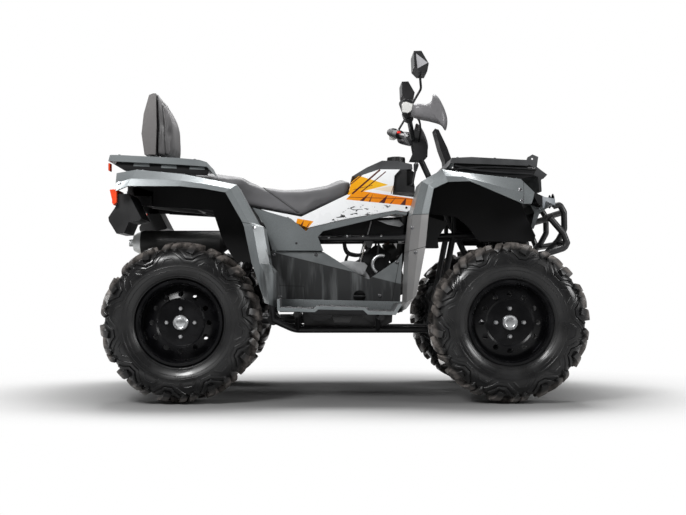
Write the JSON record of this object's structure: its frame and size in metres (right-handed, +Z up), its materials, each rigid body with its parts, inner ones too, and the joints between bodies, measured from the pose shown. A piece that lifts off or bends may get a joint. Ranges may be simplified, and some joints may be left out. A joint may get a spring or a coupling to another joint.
{
  "type": "quad bike",
  "caption": "utility quad bike with racks, backrest and lugged tyres; bars steer the front wheels through tie rods and all wheels roll",
  "frame": {"origin": "on the ground, midway between the axles, on the mid-plane", "axes": "+X forward, +Y to the rider's left, +Z up"},
  "size_m": [1.93, 1.1, 1.4101],
  "materials": {
    "black_steel": "satin black powder coat",
    "rim_steel": "semi-gloss black paint",
    "axle_steel": "turned steel, silver zinc",
    "exhaust_steel": "brushed, heat-dulled",
    "engine_alloy": "cast, painted silver grey",
    "shock_steel": "satin, coil spring painted",
    "grey_plastic": "metallic grey moulded plastic",
    "black_plastic": "grained black moulded plastic",
    "white_plastic": "white plastic with orange panels",
    "board_plastic": "dark grey moulded plastic",
    "seat_vinyl": "charcoal vinyl",
    "tyre": "matt tyre rubber",
    "rubber": "ribbed grip rubber",
    "lamp_glass": "clear lens",
    "red_lens": "orange-red lens"
  },
  "bodies": {
    "chassis": {"frame": "black_steel", "swingarm": "black_steel", "front_bumper": "black_steel", "upper_wishbones": "black_steel", "lower_wishbones": "black_steel", "front_shocks": "shock_steel", "rear_shock": "shock_steel", "engine": "engine_alloy", "exhaust": "exhaust_steel", "front_flares": "grey_plastic", "rear_flares": "grey_plastic", "front_hood": "grey_plastic", "rear_deck": "grey_plastic", "rear_skirts": "black_plastic", "leg_shields": "black_plastic", "side_trims": "grey_plastic", "side_covers": "white_plastic", "footboards": "board_plastic", "tank_cover": "black_plastic", "fuel_cap": "black_plastic", "dash_box": "black_plastic", "shift_lever": "black_plastic", "front_cowl": "black_plastic", "front_liners": "black_plastic", "rear_liners": "black_plastic", "air_box": "black_plastic", "seat": "seat_vinyl", "backrest_pad": "seat_vinyl", "backrest_shell": "grey_plastic", "rear_rack": "grey_plastic", "front_rack": "grey_plastic", "headlights": "lamp_glass", "tail_lights": "red_lens"},
    "steering": {"steering_column": "black_steel", "handlebar": "black_steel", "grips": "rubber", "controls": "black_plastic", "hand_guards": "grey_plastic", "mirrors": "black_plastic", "steering_pod": "black_plastic"},
    "rear_axle": {"rear_axle": "axle_steel", "rear_rim_right": "rim_steel", "rear_rim_left": "rim_steel", "rear_tyre_right": "tyre", "rear_tyre_left": "tyre"},
    "knuckle_right": {"knuckle_right": "black_steel"},
    "tie_rod_right": {"tie_rod_right": "black_steel"},
    "front_wheel_right": {"front_hub_right": "axle_steel", "front_rim_right": "rim_steel", "front_tyre_right": "tyre"},
    "knuckle_left": {"knuckle_left": "black_steel"},
    "tie_rod_left": {"tie_rod_left": "black_steel"},
    "front_wheel_left": {"front_hub_left": "axle_steel", "front_rim_left": "rim_steel", "front_tyre_left": "tyre"}
  },
  "joints": [
    {"name": "steering_turn", "type": "hinge", "parent": "chassis", "child": "steering", "pos_m": [0.65185, 0, 0.3499], "axis": [-0.4226, 0, 0.9063], "range_deg": [-30, 30]},
    {"name": "knuckle_right_turn", "type": "hinge", "parent": "chassis", "child": "knuckle_right", "pos_m": [0.6475, -0.3865, 0.3175], "axis": [0, 0, 1], "range_deg": [-30, 30]},
    {"name": "tie_rod_right_turn", "type": "hinge", "parent": "steering", "child": "tie_rod_right", "pos_m": [0.59385, 0, 0.32285], "axis": [-0.4226, 0, 0.9063], "range_deg": [-30, 30]},
    {"name": "front_wheel_right_spin", "type": "hinge", "parent": "knuckle_right", "child": "front_wheel_right", "pos_m": [0.6475, -0.4485, 0.3175], "axis": [0, 1, 0], "continuous": true},
    {"name": "knuckle_left_turn", "type": "hinge", "parent": "chassis", "child": "knuckle_left", "pos_m": [0.6475, 0.3865, 0.3175], "axis": [0, 0, 1], "range_deg": [-30, 30]},
    {"name": "tie_rod_left_turn", "type": "hinge", "parent": "steering", "child": "tie_rod_left", "pos_m": [0.59385, 0, 0.32285], "axis": [-0.4226, 0, 0.9063], "range_deg": [-30, 30]},
    {"name": "front_wheel_left_spin", "type": "hinge", "parent": "knuckle_left", "child": "front_wheel_left", "pos_m": [0.6475, 0.4485, 0.3175], "axis": [0, 1, 0], "continuous": true},
    {"name": "rear_axle_spin", "type": "hinge", "parent": "chassis", "child": "rear_axle", "pos_m": [-0.6475, 0, 0.3175], "axis": [0, 1, 0], "continuous": true}
  ],
  "couplings": [
    {"joint": "knuckle_right_turn", "follows": "steering_turn", "ratio": 1},
    {"joint": "tie_rod_right_turn", "follows": "steering_turn", "ratio": -1},
    {"joint": "knuckle_left_turn", "follows": "steering_turn", "ratio": 1},
    {"joint": "tie_rod_left_turn", "follows": "steering_turn", "ratio": -1}
  ]
}
